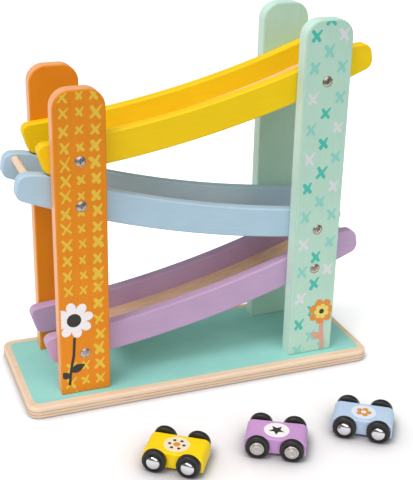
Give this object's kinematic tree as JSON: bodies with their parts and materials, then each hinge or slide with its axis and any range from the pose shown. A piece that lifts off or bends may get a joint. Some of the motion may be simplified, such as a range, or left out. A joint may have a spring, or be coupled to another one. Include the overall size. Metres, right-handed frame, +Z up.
{
  "type": "click-clack car track",
  "caption": "Wooden click-clack track: curved ramps run to and fro between two pairs of posts on a base, and small cars roll and drop from ramp to ramp.",
  "frame": {"origin": "on the base plate's underside, below the middle of the track", "axes": "+X along the base to the tall mint posts, -Y to the front where the cars stand, +Z up"},
  "size_m": [0.298, 0.2351, 0.296],
  "materials": {
    "base_plywood": "clear-coated plywood with a matt turquoise print on top",
    "orange_painted_wood": "satin orange paint, printed on the front",
    "mint_painted_wood": "satin mint paint, printed on the front",
    "yellow_painted_wood": "satin yellow paint",
    "blue_painted_wood": "satin pale blue paint",
    "purple_painted_wood": "satin purple paint",
    "floor_plywood": "bare plywood",
    "dowel_beech": "bare turned beech",
    "screw_nickel": "nickel-plated steel",
    "yellow_car_painted_wood": "satin yellow paint",
    "purple_car_painted_wood": "satin purple paint",
    "blue_car_painted_wood": "satin pale blue paint",
    "axle_steel": "drawn steel wire",
    "wheel_black": "matt black moulding",
    "cap_chrome": "polished chrome plate",
    "cap_nickel": "turned nickel-plated steel"
  },
  "bodies": {
    "track": {"base_plate": "base_plywood", "front_left_post": "orange_painted_wood", "back_left_post": "orange_painted_wood", "front_right_post": "mint_painted_wood", "back_right_post": "mint_painted_wood", "upper_front_rail": "yellow_painted_wood", "upper_back_rail": "yellow_painted_wood", "upper_floor": "floor_plywood", "upper_stop_dowel": "dowel_beech", "middle_front_rail": "blue_painted_wood", "middle_back_rail": "blue_painted_wood", "middle_floor": "floor_plywood", "middle_stop_dowel": "dowel_beech", "lower_front_rail": "purple_painted_wood", "lower_back_rail": "purple_painted_wood", "lower_floor": "floor_plywood", "lower_stop_dowel": "dowel_beech", "front_post_screws": "screw_nickel", "back_post_screws": "screw_nickel", "base_screws": "screw_nickel"},
    "yellow_car": {"yellow_car_body": "yellow_car_painted_wood"},
    "yellow_car_front_axle_set": {"yellow_car_front_axle": "axle_steel", "yellow_car_front_left_wheel": "wheel_black", "yellow_car_front_right_wheel": "wheel_black", "yellow_car_front_domed_cap": "cap_chrome", "yellow_car_front_flat_cap": "cap_nickel"},
    "yellow_car_rear_axle_set": {"yellow_car_rear_axle": "axle_steel", "yellow_car_rear_left_wheel": "wheel_black", "yellow_car_rear_right_wheel": "wheel_black", "yellow_car_rear_domed_cap": "cap_chrome", "yellow_car_rear_flat_cap": "cap_nickel"},
    "purple_car": {"purple_car_body": "purple_car_painted_wood"},
    "purple_car_front_axle_set": {"purple_car_front_axle": "axle_steel", "purple_car_front_left_wheel": "wheel_black", "purple_car_front_right_wheel": "wheel_black", "purple_car_front_domed_cap": "cap_chrome", "purple_car_front_flat_cap": "cap_nickel"},
    "purple_car_rear_axle_set": {"purple_car_rear_axle": "axle_steel", "purple_car_rear_left_wheel": "wheel_black", "purple_car_rear_right_wheel": "wheel_black", "purple_car_rear_domed_cap": "cap_chrome", "purple_car_rear_flat_cap": "cap_nickel"},
    "blue_car": {"blue_car_body": "blue_car_painted_wood"},
    "blue_car_front_axle_set": {"blue_car_front_axle": "axle_steel", "blue_car_front_left_wheel": "wheel_black", "blue_car_front_right_wheel": "wheel_black", "blue_car_front_domed_cap": "cap_chrome", "blue_car_front_flat_cap": "cap_nickel"},
    "blue_car_rear_axle_set": {"blue_car_rear_axle": "axle_steel", "blue_car_rear_left_wheel": "wheel_black", "blue_car_rear_right_wheel": "wheel_black", "blue_car_rear_domed_cap": "cap_chrome", "blue_car_rear_flat_cap": "cap_nickel"}
  },
  "joints": [
    {"name": "yellow_car_roll", "type": "slide", "parent": "track", "child": "yellow_car", "axis": [0.8231, -0.5678, 0], "range_m": [-0.06, 0.006]},
    {"name": "yellow_car_front_axle_spin", "type": "hinge", "parent": "yellow_car", "child": "yellow_car_front_axle_set", "pos_m": [-0.04755, -0.15161, 0.009], "axis": [0.5678, 0.8231, 0], "continuous": true},
    {"name": "yellow_car_rear_axle_spin", "type": "hinge", "parent": "yellow_car", "child": "yellow_car_rear_axle_set", "pos_m": [-0.06845, -0.13719, 0.009], "axis": [0.5678, 0.8231, 0], "continuous": true},
    {"name": "purple_car_roll", "type": "slide", "parent": "track", "child": "purple_car", "axis": [-0.8695, 0.4939, 0], "range_m": [-0.006, 0.01]},
    {"name": "purple_car_front_axle_spin", "type": "hinge", "parent": "purple_car", "child": "purple_car_front_axle_set", "pos_m": [0.00756, -0.14493, 0.009], "axis": [-0.4939, -0.8695, 0], "continuous": true},
    {"name": "purple_car_rear_axle_spin", "type": "hinge", "parent": "purple_car", "child": "purple_car_rear_axle_set", "pos_m": [0.02964, -0.15747, 0.009], "axis": [-0.4939, -0.8695, 0], "continuous": true},
    {"name": "blue_car_roll", "type": "slide", "parent": "track", "child": "blue_car", "axis": [0.829, -0.5592, 0], "range_m": [-0.004, 0.06]},
    {"name": "blue_car_front_axle_spin", "type": "hinge", "parent": "blue_car", "child": "blue_car_front_axle_set", "pos_m": [0.10293, -0.1576, 0.009], "axis": [0.5592, 0.829, 0], "continuous": true},
    {"name": "blue_car_rear_axle_spin", "type": "hinge", "parent": "blue_car", "child": "blue_car_rear_axle_set", "pos_m": [0.08187, -0.1434, 0.009], "axis": [0.5592, 0.829, 0], "continuous": true}
  ]
}
